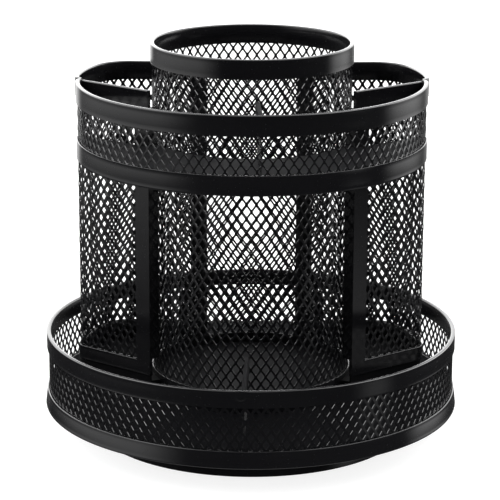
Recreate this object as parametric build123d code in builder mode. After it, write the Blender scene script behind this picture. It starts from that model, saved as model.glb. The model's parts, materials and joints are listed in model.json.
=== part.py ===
"""Rotating desk organizer of black expanded steel mesh.

A pencil cup stands in the middle of a round tray.  Two side pockets and a raised half-round
front tray are fixed round the cup, and the whole carousel turns on a low base pan.
Frame: millimetres, +Z up, origin on the desk under the pivot, the front looks along -Y.
"""

import os
from math import acos, atan2, ceil, cos, degrees, hypot, pi, radians, sin, sqrt

from build123d import *

os.makedirs("parts", exist_ok=True)

# Sheet stock
mesh_t = 0.5
strip_t = 0.4
plate_t = 0.8
seat = 0.2
fit = 0.1
fold_edge = 0.3

# Diamond openings, coarser than in the real sheet: tall ones in the cup and pockets, low ones in the trays
tall_cell_w = 18.0
tall_cell_h = 30.0
low_cell_w = 16.0
low_cell_h = 12.0
strand_w = 2.4

# Base tray
tray_r = 82.75
tray_skirt_flare = 0.75
tray_skirt_roll = 0.8
tray_floor_z = 17.4
tray_floor_t = 1.0
tray_skirt_h = 6.8
tray_lip = 0.2
tray_rim_top = 41.6
tray_rim_h = 6.8

# Pencil cup
cup_r = 40.2
cup_top = 158.3
cup_rim_h = 7.7
cup_floor_z = 22.0
foot_h = 8.6

# Side pockets
pocket_r = 70.55
body_top = 143.2
pocket_rim_h = 7.6
pocket_strip_h = 6.0
pocket_floor_z = 24.0
post_w = 6.8
panel_angle = 36.9
panel_offset = 39.5
panel_start = 20.1
panel_drop = 0.8
corner_r = 5.0
rear_angle = 3.0
rear_offset = 35.0
rear_corner_r = 15.0

# Raised front tray
front_r = 69.5
front_rim_h = 8.0
front_floor_z = 120.2
front_skirt_h = 7.8
front_lip = 0.2
front_bend_r = 5.0

# Dividers
divider_strip_h = 6.0
divider_drop = 0.8
front_divider_turn = 3.0
tray_divider_turn = -2.0

# Swivel and base
base_r = 63.8
base_sheet = 1.0
base_top = 9.0
base_edge_z = 0.3
base_shoulder = 2.0
foot_pad_r = 6.0
foot_pad_count = 4
foot_pad_pitch_r = 48.0
glide_r = 32.0
glide_w = 10.0
glide_h = 4.0
swivel_gap = 0.3
swivel_w = 16.0
rivet_r = 4.0
rivet_head_r = 8.0
rivet_head_h = 1.2
bush_wall = 2.0
bush_flange_w = 3.0
bush_flange_h = 0.8
washer_h = 0.6
running_gap = 0.06

# Worked out from the sizes above
grip = mesh_t / 2 + seat
cover = grip + strip_t
tray_mid = tray_r - cover
tray_skirt_r = tray_r + tray_skirt_flare
cup_mid = cup_r - cover
pocket_mid = pocket_r - cover
front_mid = front_r - cover
cup_clear = cup_mid + grip
wall_foot = tray_floor_z + foot_h
panel_top = body_top - panel_drop
panel_turn = radians(panel_angle)
rear_turn = radians(rear_angle)


def panel_point(along, out):
    """Plan point of the right front panel: distance along it, and distance out from the axis."""
    return (
        along * cos(panel_turn) + out * sin(panel_turn),
        along * sin(panel_turn) - out * cos(panel_turn),
    )


def rear_point(along, out):
    """Plan point of the right rear wall: distance along it, and distance out from the axis."""
    return (
        along * cos(rear_turn) - out * sin(rear_turn),
        along * sin(rear_turn) + out * cos(rear_turn),
    )


# Where the wall's straight runs end and the rounded corners begin
corner_along = sqrt((pocket_mid - corner_r) ** 2 - (panel_offset - corner_r) ** 2)
corner_at = panel_point(corner_along, panel_offset - corner_r)
corner_dir = degrees(atan2(corner_at[1], corner_at[0]))
rear_along = sqrt((pocket_mid - rear_corner_r) ** 2 - (rear_offset - rear_corner_r) ** 2)
rear_at = rear_point(rear_along, rear_offset - rear_corner_r)
rear_dir = degrees(atan2(rear_at[1], rear_at[0]))
rear_start = sqrt(cup_clear**2 - (rear_offset - cover) ** 2)


def pocket_path(start, end):
    """Middle line of the right pocket's wall, from a place on its front panel to one on its rear wall."""
    with BuildLine() as path:
        panel = Line(panel_point(start, panel_offset), panel_point(corner_along, panel_offset))
        corner = JernArc(panel @ 1, panel % 1, corner_r, 90 + corner_dir - panel_angle)
        side = JernArc(corner @ 1, corner % 1, pocket_mid, rear_dir - corner_dir)
        rear_corner = JernArc(side @ 1, side % 1, rear_corner_r, 90 + rear_angle - rear_dir)
        Line(rear_corner @ 1, rear_point(end, rear_offset))
    return path.line


def rim_path():
    """Middle line of the right pocket's rim: the wall without its flat front panel."""
    with BuildLine() as path:
        heading = (cos(panel_turn), sin(panel_turn))
        corner = JernArc(
            panel_point(corner_along, panel_offset), heading, corner_r, 90 + corner_dir - panel_angle
        )
        side = JernArc(corner @ 1, corner % 1, pocket_mid, rear_dir - corner_dir)
        rear_corner = JernArc(side @ 1, side % 1, rear_corner_r, 90 + rear_angle - rear_dir)
        Line(rear_corner @ 1, rear_point(rear_start, rear_offset))
    return path.line


def front_path():
    """Middle line of the front tray's half-round wall, its ends bent in to meet the panels squarely."""
    reach = (panel_offset + cover + fit) / (front_mid - front_bend_r)
    early = 90 - panel_angle - degrees(acos(reach))
    start = (
        (front_mid - front_bend_r) * cos(radians(early)) + front_bend_r * cos(panel_turn),
        -(front_mid - front_bend_r) * sin(radians(early)) + front_bend_r * sin(panel_turn),
    )
    with BuildLine() as path:
        right = JernArc(start, (sin(panel_turn), -cos(panel_turn)), front_bend_r, -panel_angle - early)
        round_front = JernArc(right @ 1, right % 1, front_mid, 2 * early - 180)
        JernArc(round_front @ 1, round_front % 1, front_bend_r, -panel_angle - early)
    return path.line


def add_wall(path, width, low, high, mode=Mode.ADD):
    """A wall of even thickness on a plan path, between two heights."""
    with BuildSketch(Plane.XY.offset(low)) as plan:
        trace(path, line_width=width)
    extrude(plan.sketch, amount=high - low, mode=mode)


def fold_points(path):
    """Plan points where an open sheet is folded: the ends of its runs, and even steps round its bends."""
    points = [path @ 0]
    for run in path.edges():
        steps = 1
        if run.geom_type == GeomType.CIRCLE:
            steps = ceil(run.length / (2.5 * sqrt(run.radius * seat)))
        points += [run @ (step / steps) for step in range(1, steps + 1)]
    return points


def add_folded_sheet(path, low, high):
    """A thin sheet that follows a plan path in flat facets, between two heights."""
    middle = fold_points(path)
    faces = [[], []]
    for before, at, after in zip(middle[:1] + middle[:-1], middle, middle[1:] + middle[-1:]):
        heading = (after - before).normalized()
        out = Vector(heading.Y, -heading.X) * (mesh_t / 2)
        faces[0].append(at + out)
        faces[1].append(at - out)
    with BuildSketch(Plane.XY.offset(low)) as plan:
        with BuildLine():
            Polyline(*faces[0], *reversed(faces[1]), close=True)
        make_face()
    extrude(plan.sketch, amount=high - low)


def add_rolled_sheet(middle, folds, low, high):
    """A thin sheet rolled into a round tube of flat facets, between two heights."""
    corner = middle / sqrt(cos(pi / folds))
    with BuildSketch(Plane.XY.offset(low)) as plan:
        RegularPolygon(corner + mesh_t / 2, folds)
        RegularPolygon(corner - mesh_t / 2, folds, mode=Mode.SUBTRACT)
    extrude(plan.sketch, amount=high - low)


def columns_round(middle, cell_w):
    """How many half cells go round a tube."""
    return 2 * round(2 * pi * middle / cell_w)


def cut_cells(path, columns, spots, foot, head, cell_w, cell_h):
    """Cut diamond openings between two heights, every other row moved on by half a cell."""
    half = (cell_w / 2, cell_h / 2)
    open_share = 1 - strand_w / 2 * hypot(1 / half[0], 1 / half[1])
    rows = round((head - foot) / half[1]) - 1
    pitch = (head - foot) / (rows + 1)
    planes = []
    for column in spots:
        at = path @ (column / columns)
        along = path % (column / columns)
        for row in range(column % 2, rows, 2):
            place = (at.X, at.Y, foot + (row + 1) * pitch)
            planes.append(Plane(origin=place, x_dir=along, z_dir=(along.Y, -along.X, 0)))
    wide = half[0] * open_share
    tall = pitch * open_share
    with BuildSketch(*planes) as cells:
        Polygon((wide, 0), (0, tall), (-wide, 0), (0, -tall))
    extrude(cells.sketch, amount=half[0] / 2, both=True, mode=Mode.SUBTRACT)


def make_mesh_tube(middle, low, high, foot, head, cell_w, cell_h):
    """A rolled mesh sheet, open between the strips that hold its two edges."""
    columns = columns_round(middle, cell_w)
    with BuildLine() as path:
        CenterArc((0, 0), middle, 0, 360)
    with BuildPart() as sheet:
        add_rolled_sheet(middle, columns, low, high)
        cut_cells(path.line, columns, range(columns), foot, head, cell_w, cell_h)
    return sheet


def make_mesh_wall(path, low, high, foot, head, cell_w, cell_h):
    """A folded mesh sheet, open between the strips that hold its upper and lower edges."""
    columns = round(2 * sum(run.length for run in path.edges()) / cell_w)
    with BuildPart() as sheet:
        add_folded_sheet(path, low, high)
        cut_cells(path, columns, range(1, columns), foot, head, cell_w, cell_h)
    return sheet


def add_inside(path, low, high, mode=Mode.ADD):
    """Everything between a wall's middle line and the axis, between two heights."""
    with BuildSketch(Plane.XY.offset(low)) as plan:
        with BuildLine():
            add(path)
            Line(path @ 1, (0, 0))
            Line((0, 0), path @ 0)
        make_face()
    extrude(plan.sketch, amount=high - low, mode=mode)


def add_ring(middle, width, low, high, mode=Mode.ADD):
    """A round wall of even thickness about the axis, between two heights."""
    with BuildSketch(Plane.XY.offset(low)) as plan:
        Circle(middle + width / 2)
        Circle(middle - width / 2, mode=Mode.SUBTRACT)
    extrude(plan.sketch, amount=high - low, mode=mode)


def add_disc(outer, inner, low, high, mode=Mode.ADD):
    """A flat disc with a round hole, between two heights."""
    with BuildSketch(Plane.XY.offset(low)) as plan:
        Circle(outer)
        if inner > 0:
            Circle(inner, mode=Mode.SUBTRACT)
    extrude(plan.sketch, amount=high - low, mode=mode)


def turn_section(points):
    """A round piece turned about the axis from its section, given as (radius, height)."""
    with BuildPart() as turned:
        with BuildSketch(Plane.XZ) as section:
            with BuildLine():
                Polyline(*points, close=True)
            make_face()
        revolve(section.sketch, axis=Axis.Z)
    return turned


def ease_fold(part, height):
    """Ease the long edges of a folded strip at the height of its fold."""
    at_fold = part.edges().filter_by_position(Axis.Z, height, height)
    chamfer(at_fold.filter_by(lambda edge: edge.length > 2 * cover + fit), fold_edge)


def panel_plane():
    """Upright plane in the middle of the right front panel: X along it, Y up."""
    return Plane(
        origin=(*panel_point(0, panel_offset), 0),
        x_dir=(cos(panel_turn), sin(panel_turn), 0),
        z_dir=(sin(panel_turn), -cos(panel_turn), 0),
    )


def rear_plane():
    """Upright plane in the middle of the right rear wall: X along it, Y up."""
    return Plane(
        origin=(*rear_point(0, rear_offset), 0),
        x_dir=(cos(rear_turn), sin(rear_turn), 0),
        z_dir=(sin(rear_turn), -cos(rear_turn), 0),
    )


def add_prism(plane, points, depth, mode=Mode.ADD):
    """A flat shape with straight edges, thickened by the same depth on both sides of its plane."""
    with BuildSketch(plane) as flat:
        with BuildLine():
            Polyline(*points, close=True)
        make_face()
    extrude(flat.sketch, amount=depth, both=True, mode=mode)


def add_plan_prism(points, low, high, mode=Mode.ADD):
    """An upright prism on a plan shape with straight edges, between two heights."""
    with BuildSketch(Plane.XY.offset(low)) as plan:
        with BuildLine():
            Polyline(*points, close=True)
        make_face()
    extrude(plan.sketch, amount=high - low, mode=mode)


def save(builder, name):
    """Label a finished piece and write it."""
    builder.part.label = name
    export_step(builder.part, f"parts/{name}.step")


def save_mirrored(builder, name):
    """Write a right-hand piece and its left-hand mirror image."""
    save(builder, f"right_{name}")
    with BuildPart() as left:
        mirror(builder.part, about=Plane.YZ)
    save(left, f"left_{name}")


# Rolled mesh of the cup, from inside its foot channel to inside its rim
cup_mesh = make_mesh_tube(
    cup_mid,
    tray_floor_z + strip_t + fit,
    cup_top - strip_t - fit,
    wall_foot,
    cup_top - cup_rim_h,
    tall_cell_w,
    tall_cell_h,
)
save(cup_mesh, "cup_mesh")

# Strip folded over the cup's mouth
with BuildPart() as cup_rim:
    add_ring(cup_mid, 2 * cover, cup_top - cup_rim_h, cup_top)
    add_ring(cup_mid, 2 * grip, cup_top - cup_rim_h, cup_top - strip_t, Mode.SUBTRACT)
    ease_fold(cup_rim, cup_top)
save(cup_rim, "cup_rim")

# Channel under the cup's mesh: a tall outer leg, and an inner leg that carries the floor
with BuildPart() as cup_foot:
    add_ring(cup_mid, 2 * cover, tray_floor_z, wall_foot)
    add_ring(cup_mid, 2 * grip, tray_floor_z + strip_t, wall_foot, Mode.SUBTRACT)
    add_ring(cup_mid - grip, 2 * strip_t, cup_floor_z - plate_t, wall_foot, Mode.SUBTRACT)
save(cup_foot, "cup_foot")

# Pressed floor of the cup, its edge turned up inside the mesh
with BuildPart() as cup_floor:
    add_disc(cup_mid - grip, 0, cup_floor_z - plate_t, wall_foot)
    add_disc(cup_mid - cover, 0, cup_floor_z, wall_foot, Mode.SUBTRACT)
save(cup_floor, "cup_floor")

# Rolled mesh of the base tray
tray_skirt_z = tray_floor_z + tray_lip - tray_skirt_h
tray_mesh = make_mesh_tube(
    tray_mid,
    tray_skirt_z + strip_t + fit,
    tray_rim_top - strip_t - fit,
    tray_floor_z + tray_lip,
    tray_rim_top - tray_rim_h,
    low_cell_w,
    low_cell_h,
)
save(tray_mesh, "tray_mesh")

# Strip folded over the tray's edge
with BuildPart() as tray_rim:
    add_ring(tray_mid, 2 * cover, tray_rim_top - tray_rim_h, tray_rim_top)
    add_ring(tray_mid, 2 * grip, tray_rim_top - tray_rim_h, tray_rim_top - strip_t, Mode.SUBTRACT)
    ease_fold(tray_rim, tray_rim_top)
save(tray_rim, "tray_rim")

# Channel under the tray's mesh: a flared outer leg, and a short inner leg that carries the floor
tray_skirt_top = tray_floor_z + tray_lip
tray_floor_low = tray_floor_z - tray_floor_t
tray_skirt = turn_section(
    [
        (tray_mid - cover, tray_floor_low),
        (tray_mid - cover, tray_skirt_z),
        (tray_skirt_r - tray_skirt_roll, tray_skirt_z),
        (tray_skirt_r, tray_skirt_z + tray_skirt_roll),
        (tray_mid + cover, tray_skirt_top),
        (tray_mid + grip, tray_skirt_top),
        (tray_mid + grip, tray_skirt_z + strip_t),
        (tray_mid - grip, tray_skirt_z + strip_t),
        (tray_mid - grip, tray_floor_low),
    ]
)
save(tray_skirt, "tray_skirt")

# Floor disc of the tray, bored for the pivot bush
bush_r = rivet_r + running_gap + bush_wall
with BuildPart() as tray_floor:
    add_disc(tray_mid - grip, bush_r + fit, tray_floor_low, tray_floor_z)
save(tray_floor, "tray_floor")

# Mesh of a side pocket: one sheet wrapped from the front post round to the rear post
wall_line = pocket_path(panel_start + strip_t + fit, rear_start + strip_t + fit)
rim_line = rim_path()
pocket_mesh = make_mesh_wall(
    wall_line,
    wall_foot + strip_t + fit,
    panel_top - strip_t - fit,
    wall_foot + pocket_strip_h,
    body_top - pocket_rim_h,
    tall_cell_w,
    tall_cell_h,
)
save_mirrored(pocket_mesh, "pocket_mesh")

# Rim strip of a pocket, mitred where it meets the rear post
rim_low = body_top - pocket_rim_h
rear_mitre_top = [(rear_start, body_top), (rear_start + post_w, rim_low), (rear_start, rim_low)]
with BuildPart() as pocket_rim:
    add_wall(rim_line, 2 * cover, rim_low, body_top)
    add_wall(rim_line, 2 * grip, rim_low, body_top - strip_t, Mode.SUBTRACT)
    ease_fold(pocket_rim, body_top)
    add_prism(rear_plane(), rear_mitre_top, 2 * cover, Mode.SUBTRACT)
save_mirrored(pocket_rim, "pocket_rim")

# Strip along the top of the flat front panel, mitred at the front post
panel_low = rim_low
panel_end = corner_along - fit
with BuildPart() as panel_strip:
    add_prism(
        panel_plane(),
        [
            (panel_start, panel_top),
            (panel_end, panel_top),
            (panel_end, panel_low),
            (panel_start + post_w, panel_low),
        ],
        cover,
    )
    add_prism(
        panel_plane(),
        [
            (panel_start, panel_top - strip_t),
            (panel_end, panel_top - strip_t),
            (panel_end, panel_low),
            (panel_start, panel_low),
        ],
        grip,
        Mode.SUBTRACT,
    )
    ease_fold(panel_strip, panel_top)
save_mirrored(panel_strip, "pocket_panel_strip")

# Strip round the foot of a pocket's wall, mitred at both posts
strip_high = wall_foot + pocket_strip_h
bottom_line = pocket_path(panel_start, rear_start)
front_mitre_low = [(panel_start, wall_foot), (panel_start + post_w, strip_high), (panel_start, strip_high)]
rear_mitre_low = [(rear_start, wall_foot), (rear_start + post_w, strip_high), (rear_start, strip_high)]
with BuildPart() as pocket_strip:
    add_wall(bottom_line, 2 * cover, wall_foot, strip_high)
    add_wall(bottom_line, 2 * grip, wall_foot + strip_t, strip_high, Mode.SUBTRACT)
    add_prism(panel_plane(), front_mitre_low, 2 * cover, Mode.SUBTRACT)
    add_prism(rear_plane(), rear_mitre_low, 2 * cover, Mode.SUBTRACT)
save_mirrored(pocket_strip, "pocket_bottom_strip")

# Front post: a channel on the panel's inner edge, with a flange turned back to the cup
flange_end = panel_offset - sqrt(cup_clear**2 - panel_start**2)
front_post_low = wall_foot + fit
front_post_top = panel_top - fit
front_low_slope = pocket_strip_h / post_w
front_top_slope = (panel_top - panel_low) / post_w
with BuildPart() as front_post:
    add_prism(
        panel_plane(),
        [
            (panel_start, front_post_low),
            (panel_start + post_w, front_post_low + front_low_slope * post_w),
            (panel_start + post_w, front_post_top - front_top_slope * post_w),
            (panel_start, front_post_top),
        ],
        cover,
    )
    add_plan_prism(
        [
            panel_point(panel_start + strip_t, panel_offset + grip),
            panel_point(panel_start + post_w, panel_offset + grip),
            panel_point(panel_start + post_w, panel_offset - grip),
            panel_point(panel_start + strip_t, panel_offset - grip),
        ],
        wall_foot,
        panel_top,
        Mode.SUBTRACT,
    )
    add_plan_prism(
        [
            panel_point(panel_start, panel_offset - grip),
            panel_point(panel_start + strip_t, panel_offset - grip),
            panel_point(panel_start + strip_t, panel_offset - flange_end),
            panel_point(panel_start, panel_offset - flange_end),
        ],
        front_post_low + post_w,
        front_post_top - post_w,
    )
save_mirrored(front_post, "pocket_front_post")

# Rear post: a channel on the wall's rear edge, which lies against the cup
rear_low_slope = pocket_strip_h / post_w
rear_top_slope = pocket_rim_h / post_w
rear_post_low = wall_foot + fit
rear_post_top = body_top - fit
with BuildPart() as rear_post:
    add_prism(
        rear_plane(),
        [
            (rear_start, rear_post_low),
            (rear_start + post_w, rear_post_low + rear_low_slope * post_w),
            (rear_start + post_w, rear_post_top - rear_top_slope * post_w),
            (rear_start, rear_post_top),
        ],
        cover,
    )
    add_prism(
        rear_plane(),
        [
            (rear_start + strip_t, 0),
            (rear_start + post_w, 0),
            (rear_start + post_w, body_top),
            (rear_start + strip_t, body_top),
        ],
        grip,
        Mode.SUBTRACT,
    )
save_mirrored(rear_post, "pocket_rear_post")

# Floor pan of a pocket: a skirt under the wall, standing on the tray, and a raised floor inside it
with BuildPart() as pocket_pan:
    add_wall(bottom_line, plate_t, tray_floor_z, wall_foot)
    add_inside(bottom_line, pocket_floor_z - plate_t, pocket_floor_z)
    add_disc(cup_r + fit, 0, tray_floor_z, wall_foot, Mode.SUBTRACT)
save_mirrored(pocket_pan, "pocket_pan")

# Half-round mesh of the raised front tray
front_line = front_path()
front_skirt_z = front_floor_z + front_lip - front_skirt_h
front_mesh = make_mesh_wall(
    front_line,
    front_skirt_z + strip_t + fit,
    body_top - strip_t - fit,
    front_floor_z + front_lip,
    body_top - front_rim_h,
    low_cell_w,
    low_cell_h,
)
save(front_mesh, "front_tray_mesh")

# Strip folded over the front tray's edge
with BuildPart() as front_rim:
    add_wall(front_line, 2 * cover, body_top - front_rim_h, body_top)
    add_wall(front_line, 2 * grip, body_top - front_rim_h, body_top - strip_t, Mode.SUBTRACT)
    ease_fold(front_rim, body_top)
save(front_rim, "front_tray_rim")

# Channel under the front tray's mesh, its inner leg cut short to carry the floor
with BuildPart() as front_skirt:
    add_wall(front_line, 2 * cover, front_skirt_z, front_floor_z + front_lip)
    add_wall(front_line, 2 * grip, front_skirt_z + strip_t, front_floor_z + front_lip, Mode.SUBTRACT)
    add_inside(front_line, front_floor_z - plate_t, front_floor_z + front_lip, Mode.SUBTRACT)
    ease_fold(front_skirt, front_skirt_z)
save(front_skirt, "front_tray_skirt")

# Floor plate of the front tray, between the mesh, the cup and the two panels
front_floor_low = front_floor_z - plate_t
panel_face = panel_offset + cover + fit
behind_panel = [
    panel_point(panel_start - fit, panel_face),
    panel_point(2 * front_r, panel_face),
    panel_point(2 * front_r, 0),
    panel_point(panel_start - fit, 0),
]
with BuildPart() as front_floor:
    add_inside(front_line, front_floor_low, front_floor_z)
    add_wall(front_line, 2 * grip, front_floor_low, front_floor_z, Mode.SUBTRACT)
    add_disc(cup_clear, 0, front_floor_low, front_floor_z, Mode.SUBTRACT)
    for hand in (1, -1):
        beside = [(hand * x, y) for x, y in behind_panel]
        add_plan_prism(beside, front_floor_low, front_floor_z, Mode.SUBTRACT)
save(front_floor, "front_tray_floor")


def divider_plane(turn):
    """Upright plane through the axis towards the front, turned a little about the axis."""
    out = radians(turn - 90)
    return Plane(origin=(0, 0, 0), x_dir=(cos(out), sin(out), 0), z_dir=(sin(out), -cos(out), 0))


def add_divider_plate(turn, inner, outer, low, high, thickness, mode=Mode.ADD):
    """An upright plate that runs straight out from the axis."""
    with BuildSketch(divider_plane(turn)) as upright:
        with Locations(((inner + outer) / 2, (low + high) / 2)):
            Rectangle(outer - inner, high - low)
    extrude(upright.sketch, amount=thickness / 2, both=True, mode=mode)


def make_divider(name, turn, inner, outer, low, high):
    """A mesh plate with a strip folded over its top edge."""
    upright = divider_plane(turn)
    with BuildLine() as path:
        Line(upright.from_local_coords((inner, 0, 0)), upright.from_local_coords((outer, 0, 0)))
    plate = make_mesh_wall(
        path.line, low, high - strip_t - fit, low + strand_w, high - divider_strip_h, low_cell_w, low_cell_h
    )
    save(plate, f"{name}_mesh")
    with BuildPart() as strip:
        add_divider_plate(turn, inner, outer, high - divider_strip_h, high, 2 * cover)
        add_divider_plate(turn, inner, outer, high - divider_strip_h, high - strip_t, 2 * grip, Mode.SUBTRACT)
        ease_fold(strip, high)
    save(strip, f"{name}_strip")


make_divider(
    "front_tray_divider",
    front_divider_turn,
    cup_clear + seat,
    front_mid - cover - seat,
    front_floor_z,
    body_top - divider_drop,
)
make_divider(
    "tray_divider",
    tray_divider_turn,
    cup_r + seat,
    tray_mid - cover - seat,
    tray_floor_z,
    tray_rim_top - divider_drop,
)

# Base pan: a pressed disc with its edge turned down over a bevelled shoulder, bored for the rivet
base_pan = turn_section(
    [
        (rivet_r + fit, base_top - base_sheet),
        (base_r - base_shoulder, base_top - base_sheet),
        (base_r - base_sheet, base_top - base_shoulder),
        (base_r - base_sheet, base_edge_z),
        (base_r, base_edge_z),
        (base_r, base_top - base_shoulder),
        (base_r - base_shoulder, base_top),
        (rivet_r + fit, base_top),
    ]
)
save(base_pan, "base_pan")

# Rubber feet inside the base pan
with BuildPart() as base_feet:
    with BuildSketch():
        with PolarLocations(foot_pad_pitch_r, foot_pad_count, start_angle=45):
            Circle(foot_pad_r)
    extrude(amount=base_top - base_sheet)
save(base_feet, "base_feet")

# Glide ring on the base pan
glide_top = base_top + glide_h
with BuildPart() as glide_ring:
    add_ring(glide_r, glide_w, base_top, glide_top)
save(glide_ring, "glide_ring")

# Swivel plate under the tray floor, which runs on the glide ring
with BuildPart() as swivel_plate:
    add_ring(glide_r, swivel_w, glide_top + swivel_gap, tray_floor_low)
save(swivel_plate, "swivel_plate")

# Flanged bush in the tray floor
bush_top = tray_floor_z + bush_flange_h
with BuildPart() as pivot_bush:
    add_disc(bush_r + bush_flange_w, rivet_r + running_gap, tray_floor_z, bush_top)
    add_disc(bush_r, rivet_r + running_gap, tray_floor_low, tray_floor_z)
save(pivot_bush, "pivot_bush")

# Washer between the bush and the rivet's upper head
washer_z = bush_top + fit
with BuildPart() as pivot_washer:
    add_disc(bush_r + bush_flange_w, rivet_r + fit, washer_z, washer_z + washer_h)
save(pivot_washer, "pivot_washer")

# Rivet that holds the carousel down on the base
with BuildPart() as pivot_rivet:
    rivet_low = base_top - base_sheet
    rivet_high = washer_z + washer_h
    add_disc(rivet_head_r, 0, rivet_low - rivet_head_h, rivet_low)
    add_disc(rivet_r, 0, rivet_low, rivet_high)
    add_disc(rivet_head_r, 0, rivet_high, rivet_high + rivet_head_h)
save(pivot_rivet, "pivot_rivet")
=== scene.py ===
# %% [markdown]
# # A rotating desk organizer of black expanded mesh
#
# The real object is thin steel: diamond mesh walls, each held between the two legs of a folded
# strip, pressed floors, and a low base on which everything turns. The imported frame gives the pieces
# that carry and turn. This lesson dresses them: it pulls the fine mesh open, folds the strips and
# paints all of it black.

# %% Load the frame
import json
from math import acos, atan2, ceil, cos, pi, radians, sin, sqrt, tau

import bpy
import numpy as np
from mathutils import Matrix, Vector


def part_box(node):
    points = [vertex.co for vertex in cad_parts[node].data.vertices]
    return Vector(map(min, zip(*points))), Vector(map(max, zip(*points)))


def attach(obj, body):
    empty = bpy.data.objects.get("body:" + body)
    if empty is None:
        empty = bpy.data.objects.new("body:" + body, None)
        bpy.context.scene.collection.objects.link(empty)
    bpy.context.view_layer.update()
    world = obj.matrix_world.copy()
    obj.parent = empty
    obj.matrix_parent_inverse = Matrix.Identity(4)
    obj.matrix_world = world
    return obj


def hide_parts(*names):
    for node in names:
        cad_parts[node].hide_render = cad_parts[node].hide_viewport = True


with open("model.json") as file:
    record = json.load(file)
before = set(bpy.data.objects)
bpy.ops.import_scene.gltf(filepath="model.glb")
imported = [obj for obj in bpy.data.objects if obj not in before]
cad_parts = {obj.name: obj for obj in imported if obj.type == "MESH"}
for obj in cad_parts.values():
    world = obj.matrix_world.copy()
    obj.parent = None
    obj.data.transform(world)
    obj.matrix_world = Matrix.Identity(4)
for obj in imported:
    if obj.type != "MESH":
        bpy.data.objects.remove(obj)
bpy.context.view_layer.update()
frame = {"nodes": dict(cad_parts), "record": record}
mm = 0.001

# %% [markdown]
# ## The camera
#
# A camera is a place, a direction and a lens. These came from matching the round rims of the
# object, so its ellipses open as they do in the photograph: a long lens, about 0.9 m away, that
# looks down 15.5 degrees.

# %% Camera
camera_place = Vector((0.0, -866.6, 313.7)) * mm
look_down = radians(15.516)
look_left = 0.0006
camera_roll = 0.004
level = Vector((cos(look_left), sin(look_left), 0))
ahead = Vector((-sin(look_left), cos(look_left), 0))
forward = ahead * cos(look_down) - Vector((0, 0, sin(look_down)))
upright = level.cross(forward)
right = level * cos(camera_roll) + upright * sin(camera_roll)
up = upright * cos(camera_roll) - level * sin(camera_roll)
camera = bpy.data.objects.new("camera", bpy.data.cameras.new("camera"))
camera.data.lens = 160.7
camera.data.sensor_width = 36.0
camera.data.dof.use_dof = False
camera_turn = Matrix((right, up, -forward)).transposed().to_4x4()
camera.matrix_world = Matrix.Translation(camera_place) @ camera_turn
bpy.context.scene.collection.objects.link(camera)
bpy.context.scene.camera = camera
print("camera at", [round(v, 3) for v in camera_place])

# %% [markdown]
# ## Walls seen from above
#
# Every wall of the organizer follows a line in plan: a circle, or straight runs joined by arcs.
# Such a line is easiest to describe the way one walks it: so far ahead, turning by so much. Adding
# up short steps gives the points, and the wall's own coordinates become distance along the line,
# distance out from it, and height. The left pocket is the right one seen in a mirror, so a line
# also has a hand.

# %% Plan lines
class PlanLine:
    """A wall's middle line in plan, walked from a start in a heading, in runs of (length, turn).

    The heading changes evenly along each run.  x and y are the running sums of the cosine and sine of
    the heading over short equal steps.  Out is to the right of the walk, and a hand of -1 flips x.
    """

    steps = 6000

    def __init__(self, start, heading, runs, closed=False, hand=1):
        lengths, turns = np.array(runs).T
        ends = np.concatenate([[0], np.cumsum(lengths)])
        self.length = ends[-1]
        self.closed = closed
        self.hand = hand
        self.along = np.linspace(0, self.length, self.steps + 1)
        turned = np.concatenate([[0], np.cumsum(turns)])
        self.heading = heading + np.interp(self.along, ends, turned)
        middle = (self.heading[1:] + self.heading[:-1]) / 2
        step = self.length / self.steps
        self.x = start[0] + np.concatenate([[0], np.cumsum(np.cos(middle))]) * step
        self.y = start[1] + np.concatenate([[0], np.cumsum(np.sin(middle))]) * step

    def place(self, along, out, height):
        """Points at distances along the line, moved out from it and up, for whole arrays at once."""
        along = along % self.length if self.closed else along
        heading = np.interp(along, self.along, self.heading)
        x = np.interp(along, self.along, self.x) + out * np.sin(heading)
        y = np.interp(along, self.along, self.y) - out * np.cos(heading)
        return np.stack(np.broadcast_arrays(self.hand * x, y, height), axis=-1)


def circle_line(radius):
    """A full circle about the axis, walked so that out points away from the axis."""
    return PlanLine((0, radius), pi, [(tau * radius, tau)], closed=True)


def node_heights(node):
    """Lowest and highest z of a CAD node."""
    low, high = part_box(node)
    return low.z, high.z


strip_t, cover, gap = 0.4 * mm, 0.85 * mm, 0.1 * mm
grip = cover - strip_t
cup_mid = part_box("cup_rim")[1].x - cover
tray_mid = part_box("tray_rim")[1].x - cover
cup_line = circle_line(cup_mid)
tray_line = circle_line(tray_mid)
print("cup line", round(cup_line.length / mm, 1), "mm, tray line",
      round(tray_line.length / mm, 1), "mm")

# %% [markdown]
# The side pockets are a flat front panel, a tight corner, a stretch on the big circle, a wide
# corner and a nearly flat rear wall. The front tray is a half circle whose ends bend in to meet the
# panels. The corners touch the circle, so their centres lie on a smaller circle, and that gives
# every length by trigonometry.

# %% Pocket and front tray lines
pocket_mid, front_mid = 69.7 * mm, 68.65 * mm
panel_turn, panel_offset, panel_start = radians(36.9), 39.5 * mm, 20.1 * mm
corner_r = 5 * mm
rear_turn, rear_offset, rear_corner_r = radians(3), 35.0 * mm, 15 * mm
bend_r = 5 * mm
corner_along = sqrt((pocket_mid - corner_r) ** 2 - (panel_offset - corner_r) ** 2)
rear_along = sqrt((pocket_mid - rear_corner_r) ** 2 - (rear_offset - rear_corner_r) ** 2)
rear_start = sqrt((cup_mid + grip) ** 2 - (rear_offset - cover) ** 2)
corner_dir = panel_turn + atan2(corner_r - panel_offset, corner_along)
rear_dir = rear_turn + atan2(rear_offset - rear_corner_r, rear_along)


def panel_point(along, out):
    """Plan point of the right front panel: distance along it, and distance out from the axis."""
    x = along * cos(panel_turn) + out * sin(panel_turn)
    y = along * sin(panel_turn) - out * cos(panel_turn)
    return x, y


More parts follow.
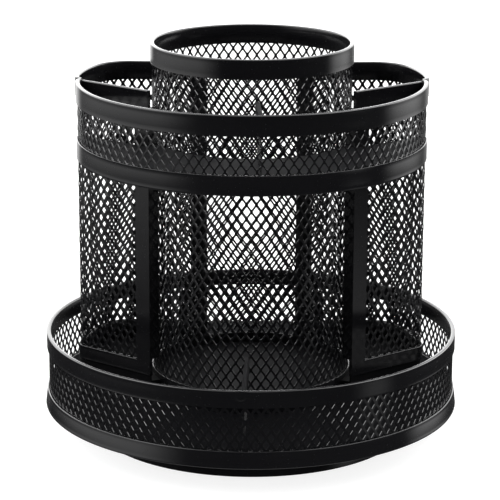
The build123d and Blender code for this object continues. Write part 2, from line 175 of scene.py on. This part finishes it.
def pocket_line(start, hand):
    """Middle line of a pocket's wall, from a place on its front panel to the rear post."""
    corner_turn = pi / 2 + corner_dir - panel_turn
    rear_corner_turn = pi / 2 + rear_turn - rear_dir
    runs = [
        (corner_along - start, 0),
        (corner_r * corner_turn, corner_turn),
        (pocket_mid * (rear_dir - corner_dir), rear_dir - corner_dir),
        (rear_corner_r * rear_corner_turn, rear_corner_turn),
        (rear_along - rear_start, 0),
    ]
    return PlanLine(panel_point(start, panel_offset), panel_turn, runs, hand=hand)


def front_line():
    """Middle line of the front tray's wall, from the left panel round the front to the right one."""
    reach = (panel_offset + cover + gap) / (front_mid - bend_r)
    early = pi / 2 - panel_turn - acos(reach)
    bend = panel_turn + early
    start = (
        -(front_mid - bend_r) * cos(early) - bend_r * cos(panel_turn),
        -(front_mid - bend_r) * sin(early) + bend_r * sin(panel_turn),
    )
    round_front = pi - 2 * early
    runs = [(bend_r * bend, bend), (front_mid * round_front, round_front), (bend_r * bend, bend)]
    return PlanLine(start, -pi / 2 - panel_turn, runs)


def divider_line(turn, inner, outer):
    """A straight line out from the axis to the front, turned a little about the axis."""
    heading = turn - pi / 2
    return PlanLine((inner * cos(heading), inner * sin(heading)), heading, [(outer - inner, 0)])


divider_gap = 0.2 * mm
front_divider_turn, tray_divider_turn = radians(3), radians(-2)
tray_front_line = front_line()
front_divider_line = divider_line(
    front_divider_turn, cup_mid + grip + divider_gap, front_mid - cover - divider_gap
)
tray_divider_line = divider_line(
    tray_divider_turn, cup_mid + cover + divider_gap, tray_mid - cover - divider_gap
)
hands = {"right": 1, "left": -1}
print("front tray line", round(tray_front_line.length / mm, 1), "mm, pocket line",
      round(pocket_line(panel_start, 1).length / mm, 1), "mm")

# %% [markdown]
# ## From arrays to meshes
#
# All new pieces here are tubes in the wide sense: a closed profile carried along a path. One
# function takes the points of one or many such tubes and lays a four-sided face on each cell of the
# grid. It checks that the faces point outwards by the sign of the enclosed volume, and it closes
# the two ends.

# %% Tube meshes
def tube_faces(points, closed):
    """Corner numbers of the side faces and the end faces of an array of tubes, all facing outwards.

    A side face joins two neighbours on the path with two neighbours on the profile.  The profile closes
    on itself, and an open tube gets its first and last profile as end faces.  The volume is a sixth of
    the sum of the corner products a . (b x c) over the faces cut into triangles.
    """
    tubes, rows, ring = points.shape[:3]
    numbered = np.arange(tubes * rows * ring).reshape(tubes, rows, ring)
    here, ahead = numbered, np.roll(numbered, -1, axis=1)
    ends = np.empty((0, ring), int)
    if not closed:
        here, ahead = here[:, :-1], ahead[:, :-1]
        ends = np.concatenate([numbered[:, 0], numbered[:, -1, ::-1]])
    beside = [np.roll(ahead, -1, axis=2), np.roll(here, -1, axis=2)]
    quads = np.stack([here, ahead, *beside], axis=-1).reshape(-1, 4)
    a, b, c, d = (points.reshape(-1, 3)[quads[:, i]] for i in range(4))
    volume = (np.cross(b, c) * a).sum() + (np.cross(c, d) * a).sum()
    return (quads, ends) if volume > 0 else (quads[:, ::-1], ends[:, ::-1])


def tube_mesh(name, *arrays, closed=False, smooth_below=radians(40)):
    """One mesh from arrays of tubes, whose axes are the tube, the path, the profile and xyz."""
    flat = np.concatenate([points.reshape(-1, 3) for points in arrays])
    first = np.cumsum([0] + [points.size // 3 for points in arrays])
    sides_and_ends = [tube_faces(points, closed) for points in arrays]
    faces = [face + start for pair, start in zip(sides_and_ends, first) for face in pair]
    corners = np.concatenate([face.ravel() for face in faces])
    sizes = np.concatenate([np.full(len(face), face.shape[1]) for face in faces])
    starts = np.cumsum(sizes) - sizes
    mesh = bpy.data.meshes.new(name)
    mesh.vertices.add(len(flat))
    mesh.vertices.foreach_set("co", flat.astype(np.float32).ravel())
    mesh.loops.add(len(corners))
    mesh.loops.foreach_set("vertex_index", corners.astype(np.int32))
    mesh.polygons.add(len(starts))
    mesh.polygons.foreach_set("loop_start", starts.astype(np.int32))
    mesh.polygons.foreach_set("use_smooth", np.ones(len(starts), bool))
    mesh.update(calc_edges=True)
    mesh.validate()
    mesh.set_sharp_from_angle(angle=smooth_below)
    piece = bpy.data.objects.new(name, mesh)
    bpy.context.scene.collection.objects.link(piece)
    return piece


def dress(piece, body, slot, *nodes):
    """Lets a piece ride on a body in place of CAD nodes, in the finish of a record slot."""
    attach(piece, body)
    if nodes:
        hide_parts(*nodes)
    piece.data.materials.append(finishes[slot])
    print(piece.name, len(piece.data.polygons), "faces")


# %% [markdown]
# ## Shader arithmetic
#
# A finish is a formula over the surface. A small class turns Python arithmetic into Math nodes, so
# that the recipe reads as one, and a second class holds the node tree with a single method that
# adds any node.

# %% Shader helpers
class Value:
    """A number that varies over a surface: arithmetic on it adds Math nodes to its recipe."""

    def __init__(self, recipe, socket):
        self.recipe = recipe
        self.socket = socket

    def math(self, operation, first, second):
        """A Math node on two inputs."""
        made = self.recipe.node("Math", {"operation": operation}, {0: first, 1: second})
        return Value(self.recipe, made.outputs[0])

    def __add__(self, other):
        return self.math("ADD", self, other)

    def __rsub__(self, other):
        return self.math("SUBTRACT", other, self)

    def __mul__(self, other):
        return self.math("MULTIPLY", self, other)

    def above(self, limit):
        """1 where the value is over a limit, else 0."""
        return self.math("GREATER_THAN", self, limit)

    def rise(self, low, high):
        """A soft step from 0 at the low value to 1 at the high one."""
        limits = {"Value": self, "From Min": low, "From Max": high}
        step = self.recipe.node("MapRange", {"interpolation_type": "SMOOTHSTEP"}, limits)
        return Value(self.recipe, step.outputs[0])

    def band(self, low, full, fading, high):
        """1 between two limits, with a soft step from 0 before them and one back to 0 after them."""
        return self.rise(low, full) * (1 - self.rise(fading, high))

    __radd__ = __add__
    __rmul__ = __mul__


class Recipe:
    """A node tree, and a single method that adds any node to it."""

    def __init__(self, tree):
        self.tree = tree

    def node(self, kind, settings, sockets):
        """Adds a node of a kind, sets its settings, then gives its sockets their values or links."""
        made = self.tree.nodes.new("ShaderNode" + kind)
        for setting, value in settings.items():
            setattr(made, setting, value)
        for socket, value in sockets.items():
            self.feed(made.inputs[socket], value)
        return made

    def feed(self, socket, value):
        """Links a varying value to a socket, or writes a constant into it."""
        source = value.socket if isinstance(value, Value) else value
        if isinstance(source, bpy.types.NodeSocket):
            self.tree.links.new(source, socket)
        else:
            socket.default_value = source


class Finish(Recipe):
    """One material: a Principled shader whose sockets take constants or recipes."""

    def __init__(self, name, **constants):
        self.material = bpy.data.materials.new(name)
        self.material.use_nodes = True
        super().__init__(self.material.node_tree)
        self.shader = self.tree.nodes["Principled BSDF"]
        self.place = self.node("TexCoord", {}, {}).outputs["Object"]
        for socket, value in constants.items():
            self.shader.inputs[socket.replace("_", " ")].default_value = value

    def noise(self, size, detail=2.0):
        """Smooth noise between 0 and 1 with features of about the given size in metres."""
        made = self.node("TexNoise", {}, {"Vector": self.place, "Scale": 1 / size, "Detail": detail})
        return Value(self, made.outputs["Fac"])

    def mix(self, factor, dark, light):
        """A colour between two colours."""
        return self.node("Mix", {"data_type": "RGBA"}, {0: factor, 6: dark, 7: light}).outputs[2]

    def bump(self, height, depth):
        """Tilts the surface by a height between 0 and 1 that stands for a depth in metres."""
        made = self.node("Bump", {}, {"Height": height, "Distance": depth, "Strength": 1.0})
        self.feed(self.shader.inputs["Normal"], made.outputs[0])

    def set(self, socket, value):
        """Gives a socket of the shader its colour or number, fixed or varying."""
        self.feed(self.shader.inputs[socket], value)


# %% [markdown]
# ## Black paint
#
# The steel is sprayed semi-gloss black. Up close such paint is not flat: it has a fine orange peel,
# its gloss drifts a little from place to place, and a few specks of dust lie on it. All three come
# from noise on Object coordinates. The floors get a duller coat: they lie flat, face the bright
# ceiling, and would otherwise turn grey. The hidden swivel pieces are zinc-plated steel, nylon and
# rubber.

# %% Finishes
deep_black, pale_black = (0.0018, 0.0018, 0.0022, 1), (0.0032, 0.0032, 0.0036, 1)


def sprayed_paint(name, gloss, peel, shine=0.5):
    """Sprayed black: colour, roughness and orange peel drift with three sizes of noise."""
    paint = Finish(name, IOR=1.45, Specular_IOR_Level=shine)
    drift = paint.noise(30 * mm)
    grain = paint.noise(1.1 * mm, detail=3.0)
    dust = paint.noise(0.8 * mm, detail=1.0).above(0.74)
    paint.set("Base Color", paint.mix(drift, deep_black, pale_black))
    paint.set("Roughness", gloss + drift * 0.08 + grain * 0.05 + dust * 0.15)
    paint.bump(grain, peel)
    return paint.material


def plain_finish(name, dark, light, roughness, size, **constants):
    """A finish for the hidden pieces: two close colours mixed by noise, with a matching roughness."""
    made = Finish(name, **constants)
    grain = made.noise(size, detail=4.0)
    made.set("Base Color", made.mix(grain, dark, light))
    made.set("Roughness", roughness + grain * 0.15)
    made.bump(grain, size / 40)
    return made.material


zinc = (0.42, 0.43, 0.45, 1), (0.6, 0.61, 0.63, 1)
nylon = (0.7, 0.69, 0.65, 1), (0.8, 0.79, 0.75, 1)
rubber = (0.02, 0.02, 0.02, 1), (0.04, 0.04, 0.04, 1)
finishes = {
    "black_paint": sprayed_paint("black_paint", gloss=0.1, peel=0.003 * mm),
    "black_mesh": sprayed_paint("black_mesh", gloss=0.12, peel=0.002 * mm),
    "zinc_steel": plain_finish("zinc_steel", *zinc, roughness=0.28, size=6 * mm, Metallic=1),
    "white_nylon": plain_finish("white_nylon", *nylon, roughness=0.4, size=4 * mm),
    "grey_rubber": plain_finish("grey_rubber", *rubber, roughness=0.65, size=1 * mm),
}
node_slots = {row["node"]: row["material_slot"] for row in frame["record"]["subparts"]}
for node, slot in node_slots.items():
    frame["nodes"][node].data.materials.clear()
    frame["nodes"][node].data.materials.append(finishes[slot])
floor_paint = sprayed_paint("black_floor_paint", gloss=0.5, peel=0.01 * mm, shine=0.045)
tray_paint = sprayed_paint("black_tray_paint", gloss=0.6, peel=0.01 * mm, shine=0.02)
for node in ("cup_floor", "front_tray_floor", "left_pocket_pan", "right_pocket_pan"):
    frame["nodes"][node].data.materials[0] = floor_paint
frame["nodes"]["tray_floor"].data.materials[0] = tray_paint
print("finishes:", ", ".join(finishes))

# %% [markdown]
# ## Expanded mesh
#
# The mesh is slit sheet that was pulled open. Each strand runs upwards in a zigzag and is joined to
# its left and right neighbours in turn. A strand is as thick as the sheet, and its narrow upper
# sides draw the thin bright lines between the dark holes. Paint fills the corners where two strands
# meet, so each joint has a small web as well.
#
# A subdivided plane with a wireframe modifier would give such a lattice too, but with round, even
# wires. Here one strand is a four-cornered profile carried along a zigzag, and one array holds all
# strands of a wall. The strands are as wide as each wall shows them: wide in the tray and the
# pockets, narrow in the front tray.

# %% Mesh walls
cell_w, cell_h = 3.9 * mm, 5.8 * mm
strand_t, strand_taper = 0.28 * mm, 0.05 * mm
bond_w, bond_h = 0.25 * mm, 0.6 * mm
web_w, web_h = 0.6 * mm, 1.9 * mm


def strand_corners(width):
    """A strand cut across: four corners, along the wall and out of it, narrower at the front."""
    front = np.array([1, 1, -1, -1]) / 2
    side = np.array([1, -1, -1, 1]) / 2
    return side * (width - strand_taper * (front + 0.5)), strand_t * front


def mesh_wall(name, line, low, high, strand_w):
    """Zigzag strands on a wall, from a low to a high edge, with a web of paint in each bond.

    Strand k stands at (k + 1/2) half cells.  Going up, it swings to one side and the other, as (-1) to
    the power of k + j at the j-th bond, and it stays there for the height of the bond.
    A web is an upright block at (k + 1) half cells, where strand k and the next one meet.
    """
    cells = round(line.length / cell_w)
    half = line.length / cells / 2
    rows = ceil((high - low) / (cell_h / 2)) + 1
    k = np.arange(2 * cells)[:, None]
    j = np.repeat(np.arange(rows), 2)[None, :]
    swing = (-1.0) ** (k + j)
    height = low + j * cell_h / 2 + np.tile([-bond_h / 2, bond_h / 2], rows)
    height = np.clip(height, low, high) + 0 * k
    along = (k + 0.5) * half + swing * (half - bond_w) / 2
    side, face = strand_corners(strand_w)
    strands = line.place(along[..., None] + side, face, height[..., None])
    web_k, web_j = np.nonzero((np.arange(2 * cells - 1)[:, None] + np.arange(rows - 2)) % 2)
    side, face = strand_corners(web_w)
    height = low + (web_j[:, None] + 1) * cell_h / 2 + np.array([-web_h, web_h]) / 2
    height = np.clip(height, low, high)
    webs = line.place((web_k[:, None, None] + 1) * half + side, face, height[..., None])
    return tube_mesh(name, strands, webs, smooth_below=radians(30))


def dress_mesh(name, line, node, strand_w):
    """Hangs a mesh wall in the place of a CAD sheet."""
    dress(mesh_wall(name, line, *node_heights(node), strand_w), "carousel", "black_mesh", node)


dress_mesh("cup_wall", cup_line, "cup_mesh", strand_w=0.95 * mm)
dress_mesh("tray_wall", tray_line, "tray_mesh", strand_w=1.25 * mm)
dress_mesh("front_tray_wall", tray_front_line, "front_tray_mesh", strand_w=0.7 * mm)
dress_mesh("front_divider_wall", front_divider_line, "front_tray_divider_mesh", strand_w=0.9 * mm)
dress_mesh("tray_divider_wall", tray_divider_line, "tray_divider_mesh", strand_w=0.9 * mm)
for side, hand in hands.items():
    line = pocket_line(panel_start + strip_t + gap, hand)
    dress_mesh(side + "_pocket_wall", line, side + "_pocket_mesh", strand_w=1.22 * mm)

# %% [markdown]
# ## Folded strips
#
# Each free edge of the mesh is held in a strip of sheet that is folded over it. Cut across, the
# strip is a narrow U: two legs and a round fold. The same U goes over the mouth of the cup, along
# the trays and the pockets, and, upside down, under their walls. Where two strips meet at a corner
# their ends are cut at a slant, so the ends of the path are moved in by an amount that grows from
# the fold to the free edge. The two dividers end in the same strip; they stand between the walls,
# so they get the duller coat of the floors.

# %% Strips
fold_h = 0.38 * mm
leg_edge, leg_swell = 0.06 * mm, 0.05 * mm
path_step = 0.9 * mm
post_w = 6.8 * mm


def folded_profile(leg):
    """A U of the given leg height, as a closed loop of (out, rise), with rise 0 at the free edge.

    The fold is half an ellipse outside and nearly flat inside, one strip thick at its top.  The outer
    leg swells a little between its ends, as pressed strip does, and the free edges are eased.
    """
    turn = np.linspace(0, pi, 11)
    up_leg = np.linspace(0.06, 0.94, 6)
    swollen = cover + leg_swell * (np.sin(pi * up_leg) - 1)
    straight = leg - fold_h
    swollen_rise = leg_edge + up_leg * (straight - leg_edge)
    inner_turn = turn[2:-2]
    inner_fold_rise = straight + (fold_h - strip_t) * np.sin(inner_turn)
    outer_out = [[cover - leg_edge, cover], swollen, cover * np.cos(turn)]
    outer_rise = [[0, leg_edge], swollen_rise, straight + fold_h * np.sin(turn)]
    inner_out = [[-cover, leg_edge - cover, -grip], -grip * np.cos(inner_turn), [grip]]
    inner_rise = [[leg_edge, 0, 0], inner_fold_rise, [0]]
    return np.concatenate(outer_out + inner_out), np.concatenate(outer_rise + inner_rise)


def folded_strip(name, line, edge, fold, slant=(0, 0), flare=0):
    """A folded strip along a line, its free edge at one height and its fold at another.

    The path's ends move in by the slants times one minus the share of the leg that is climbed, and the
    outer leg moves out by the flare times that share.
    """
    out, rise = folded_profile(abs(fold - edge))
    out = np.where(out > 0, out + flare * np.minimum(rise / (rise.max() - fold_h), 1), out)
    share = 1 - rise / rise.max()
    rows = ceil(line.length / path_step)
    walk = np.linspace(0, 1, rows, endpoint=not line.closed)[:, None]
    along = slant[0] * share * (1 - walk) + (line.length - slant[1] * share) * walk
    points = line.place(along, out, edge + np.sign(fold - edge) * rise)
    return tube_mesh(name, points[None], closed=line.closed, smooth_below=radians(50))


def dress_strip(name, line, node, upside_down=False, slant=(0, 0), flare=0):
    """Folds a strip in the place of a CAD one."""
    edge, fold = node_heights(node)
    if upside_down:
        edge, fold = fold, edge
    dress(folded_strip(name, line, edge, fold, slant, flare), "carousel", "black_paint", node)


dress_strip("cup_mouth_strip", cup_line, "cup_rim")
dress_strip("tray_edge_strip", tray_line, "tray_rim")
skirt_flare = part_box("tray_skirt")[1].x - tray_mid - cover
dress_strip("tray_foot_strip", tray_line, "tray_skirt", upside_down=True, flare=skirt_flare)
dress_strip("front_tray_edge_strip", tray_front_line, "front_tray_rim")
dress_strip("front_tray_foot_strip", tray_front_line, "front_tray_skirt", upside_down=True)
dress_strip("front_divider_edge", front_divider_line, "front_tray_divider_strip")
dress_strip("tray_divider_edge", tray_divider_line, "tray_divider_strip")
for divider_edge in ("front_divider_edge", "tray_divider_edge"):
    bpy.data.objects[divider_edge].data.materials[0] = floor_paint
for side, hand in hands.items():
    node = side + "_pocket_"
    panel_run = (corner_along - gap - panel_start, 0)
    panel = PlanLine(panel_point(panel_start, panel_offset), panel_turn, [panel_run], hand=hand)
    around, foot = pocket_line(corner_along, hand), pocket_line(panel_start, hand)
    dress_strip(node + "panel_edge", panel, node + "panel_strip", slant=(post_w, 0))
    dress_strip(node + "edge", around, node + "rim", slant=(0, post_w))
    dress_strip(node + "foot", foot, node + "bottom_strip", upside_down=True, slant=(post_w, post_w))

# %% [markdown]
# On the front of the tray's edge strip a small half moon is pressed out of the sheet, with its flat
# side up. It is a stack of half-moon outlines, each a little smaller and further out than the one
# before.

# %% Pressed tab
tab_w, tab_h, tab_proud = 5.6 * mm, 3.8 * mm, 0.15 * mm
tab_left = 3.7 * mm


def pressed_tab(name, line, along, top):
    """A half moon on a band: a half ellipse below a straight edge, smaller with each row outwards."""
    turn = np.linspace(0, pi, 17)
    straight = np.linspace(-1, 1, 9)[1:-1]
    across = np.concatenate([np.cos(turn), straight]) * tab_w / 2
    down = np.concatenate([np.sin(turn), 0 * straight]) * tab_h
    middle = 0.45 * tab_h
    shrink = np.array([1, 1, 0.94, 0.86])[:, None]
    out = cover + tab_proud * np.array([-0.5, 0.5, 0.9, 1])[:, None] + 0 * across
    points = line.place(along + across * shrink, out, top - middle - (down - middle) * shrink)
    return tube_mesh(name, points[None])


tab_top = node_heights("tray_rim")[1] - gap
tab = pressed_tab("tray_edge_tab", tray_line, tray_line.length / 2 - tab_left, tab_top)
dress(tab, "carousel", "black_paint")

# %% [markdown]
# ## The base pan
#
# The carousel turns on a pressed pan. Pressing leaves a round shoulder between the flat top and the
# upright wall, so its profile is a line with one bend, given a thickness and carried round the
# axis. A lathe (screw) modifier on such a profile would do the same; the arrays keep all pieces of
# this lesson alike.

# %% Base pan
pan_sheet, pan_bore_r, pan_shoulder, pan_foot = 1.0 * mm, 4.2 * mm, 2.2 * mm, 0.8 * mm


def turned_pan(name, radius, low, high):
    """A pan turned about the axis: a flat top with a bore, a round shoulder and an upright wall.

    The outer profile is a list of (radius, height), with a quarter circle for the shoulder and a point
    just above the foot.  The inner one is the same moved in by the sheet.
    """
    bend = np.linspace(0, pi / 2, 8)
    shoulder_r = radius - pan_shoulder + pan_shoulder * np.sin(bend)
    shoulder_z = high - pan_shoulder + pan_shoulder * np.cos(bend)
    outer_r = np.concatenate([[pan_bore_r], shoulder_r, [radius, radius]])
    outer_z = np.concatenate([[high], shoulder_z, [low + pan_foot, low]])
    inner_r = np.where(outer_r > radius / 2, outer_r - pan_sheet, outer_r)
    inner_z = np.maximum(outer_z - pan_sheet, low)
    ring_r = np.concatenate([outer_r, inner_r[::-1]])
    ring_z = np.concatenate([outer_z, inner_z[::-1]])
    turn = np.linspace(0, tau, 240, endpoint=False)[:, None]
    x, y = ring_r * np.cos(turn), ring_r * np.sin(turn)
    points = np.stack(np.broadcast_arrays(x, y, ring_z), axis=-1)
    return tube_mesh(name, points[None], closed=True, smooth_below=radians(35))


dish = turned_pan("base_dish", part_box("base_pan")[1].x, *node_heights("base_pan"))
dress(dish, "base", "black_paint", "base_pan")

# %% [markdown]
# ## Light
#
# Gloss black shows what it reflects. The studio is painted into the world as a formula of the
# direction: dark in front, where the camera stands, a large soft light on the left, a narrower one
# at the right, a small low card in front of that, high lights for the sides of the strands, and a
# bright back wall above the horizon that draws the thin lines on the folds. Area lights could do
# the same, but the glossy bands show the edge of each of them, and a soft step in a formula is
# easier to move by a degree. Camera rays see plain white.
#
# In the formula, x, y and z are the direction's own parts, so z is the sine of its height above the
# horizon. The azimuth, in radians, is 0 straight in front and grows to the right.

# %% Studio
world = bpy.data.worlds.new("studio")
world.use_nodes = True
bpy.context.scene.world = world
studio = Recipe(world.node_tree)
looked_at = studio.node("TexCoord", {}, {}).outputs["Generated"]
direction = studio.node("SeparateXYZ", {}, {0: looked_at}).outputs
x, y, z = (Value(studio, socket) for socket in direction)
azimuth = x.math("ARCTAN2", x, 0 - y)
left_light = azimuth.band(-2.9, -1.3, -1.15, -0.55) * 1.4
right_light = azimuth.band(1.6, 1.9, 2.05, 2.7) * 1.75
side_lights = (left_light + right_light) * z.rise(-0.285, -0.175)
low_card = azimuth.band(1.0, 1.25, 1.3, 1.55) * z.band(-0.42, -0.34, -0.3, -0.24) * 0.6
high_light = (x * x).rise(0.1, 0.35) * z.rise(0.2, 0.4) * 5 + z.rise(0.6, 0.8) * 2.5
back_wall = (z.rise(-0.15, 0.05) * 2.4 + z.rise(0.2, 0.34) * 0.5) * (1 - z.rise(0.4, 0.6))
back_light = y.rise(-0.3, 0.5) * back_wall
far_floor = y.rise(0.8, 0.95) * z.rise(-0.33, -0.15) * (0.5 + (0 - x).rise(-0.2, 0.2) * 1.1)
table_light = (0 - z).rise(0.5, 0.9) * 0.7 + far_floor
glossy = 0.03 + side_lights + low_card + high_light + back_light + table_light
rays = studio.node("LightPath", {}, {}).outputs
seen = Value(studio, rays["Is Camera Ray"])
scattered = Value(studio, rays["Is Diffuse Ray"])
strength = seen + (1 - seen) * (scattered * 0.6 + (1 - scattered) * glossy)
background = studio.tree.nodes["Background"].inputs
studio.feed(background["Strength"], strength)
studio.feed(background["Color"], (1, 1, 1, 1))
print("studio of", len(studio.tree.nodes), "nodes")

# %% [markdown]
# The floor is a large pale card. It glows by itself, almost to white, so only a narrow soft shadow
# is left round the base. Glossy rays pass it by, because the formula above already holds what the
# paint shows of the table.

# %% Floor
floor_half = 6.0
floor_mesh = bpy.data.meshes.new("floor")
corner_signs = [(-1, -1), (1, -1), (1, 1), (-1, 1)]
corners = [(floor_half * east, floor_half * north, 0) for east, north in corner_signs]
floor_mesh.from_pydata(corners, [], [(0, 1, 2, 3)])
floor = bpy.data.objects.new("floor", floor_mesh)
card = Finish("floor_card", Roughness=0.8, Specular_IOR_Level=0.1, Emission_Strength=0.84)
card.set("Base Color", (0.35, 0.35, 0.35, 1))
card.set("Emission Color", (1, 1, 1, 1))
floor.data.materials.append(card.material)
bpy.context.scene.collection.objects.link(floor)
floor.visible_glossy = False
print("floor card", 2 * floor_half, "m wide")

# %% [markdown]
# One softbox overhead lights what scatters light: the floor, and a trace on the black paint.
# Mirror-like reflections of it are left to the formula, so glossy rays and the camera don't see it.

# %% Overhead light
def softbox(name, place, aim, width, height, power):
    """A rectangular area light at a place, turned to look at an aim."""
    light = bpy.data.objects.new(name, bpy.data.lights.new(name, "AREA"))
    light.data.shape = "RECTANGLE"
    light.data.size, light.data.size_y = width, height
    light.data.energy = power
    light.location = place
    light.rotation_euler = (Vector(aim) - Vector(place)).to_track_quat("-Z", "Y").to_euler()
    light.visible_camera = False
    light.visible_glossy = False
    bpy.context.scene.collection.objects.link(light)


softbox("overhead", place=(0, 0.2, 1.4), aim=(0, 0, 0.08), width=1.6, height=1.2, power=10)
bpy.context.scene.view_settings.view_transform = "Standard"
